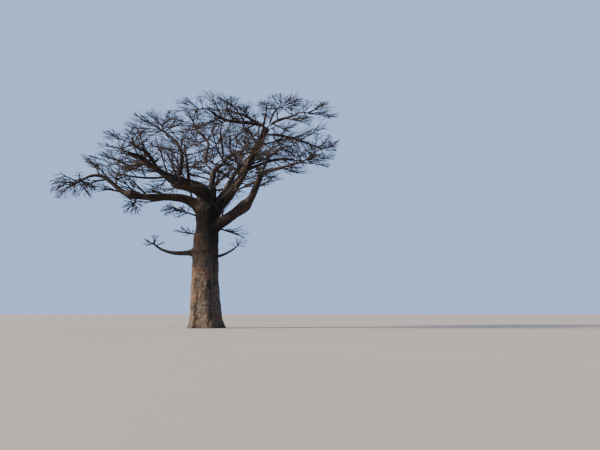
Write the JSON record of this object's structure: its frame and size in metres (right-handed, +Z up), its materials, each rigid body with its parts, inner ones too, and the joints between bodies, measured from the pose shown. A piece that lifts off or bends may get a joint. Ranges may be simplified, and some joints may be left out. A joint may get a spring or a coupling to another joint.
{
  "type": "baobab tree",
  "caption": "Leafless baobab tree: a thick tapering trunk with flat ground cut, heavy forked boughs and a wide flat crown of fine bare twigs.",
  "frame": {"origin": "middle of the flat cut under the trunk, at ground level", "axes": "+Z up the tree, +X to the right across the crown's widest spread as the picture shows it, +Y away from the picture's viewer"},
  "size_m": [21.3435, 18.6186, 18.2068],
  "materials": {
    "bark": "matte, mottled and folded",
    "twigs": "matte"
  },
  "bodies": {
    "root": {"trunk": "bark", "bough_back_left": "bark", "bough_back_mid": "bark", "bough_back_right": "bark", "bough_centre": "bark", "bough_centre_left": "bark", "bough_centre_low": "bark", "bough_centre_right": "bark", "bough_centre_riser": "bark", "bough_front_left": "bark", "bough_front_right": "bark", "bough_left_crest": "bark", "bough_left_mid": "bark", "bough_left_mid_low": "bark", "bough_left_mid_outer": "bark", "bough_left_riser": "bark", "bough_left_under": "bark", "bough_low_left": "bark", "bough_low_left_outer": "bark", "bough_right_low": "bark", "bough_right_low_outer": "bark", "bough_right_low_side": "bark", "bough_right_low_up": "bark", "bough_right_main": "bark", "bough_right_mid": "bark", "bough_right_side": "bark", "bough_right_upper": "bark", "bough_stub_left": "bark", "bough_stub_right": "bark", "bough_top_left": "bark", "bough_top_mid": "bark", "bough_top_riser": "bark", "twigs_back_left": "twigs", "twigs_back_mid": "twigs", "twigs_back_right": "twigs", "twigs_centre_left": "twigs", "twigs_centre_low": "twigs", "twigs_centre_right": "twigs", "twigs_centre_riser": "twigs", "twigs_front_left": "twigs", "twigs_front_right": "twigs", "twigs_left_crest": "twigs", "twigs_left_low": "twigs", "twigs_left_riser": "twigs", "twigs_left_tip": "twigs", "twigs_left_under": "twigs", "twigs_left_upper": "twigs", "twigs_low_left_drop": "twigs", "twigs_right_low_side": "twigs", "twigs_right_low_up": "twigs", "twigs_right_mid": "twigs", "twigs_right_side": "twigs", "twigs_right_upper": "twigs", "twigs_stub_left": "twigs", "twigs_stub_right": "twigs", "twigs_top_left": "twigs", "twigs_top_mid": "twigs", "twigs_top_riser": "twigs", "twigs_trunk_left": "twigs", "twigs_trunk_low": "twigs"}
  },
  "joints": []
}
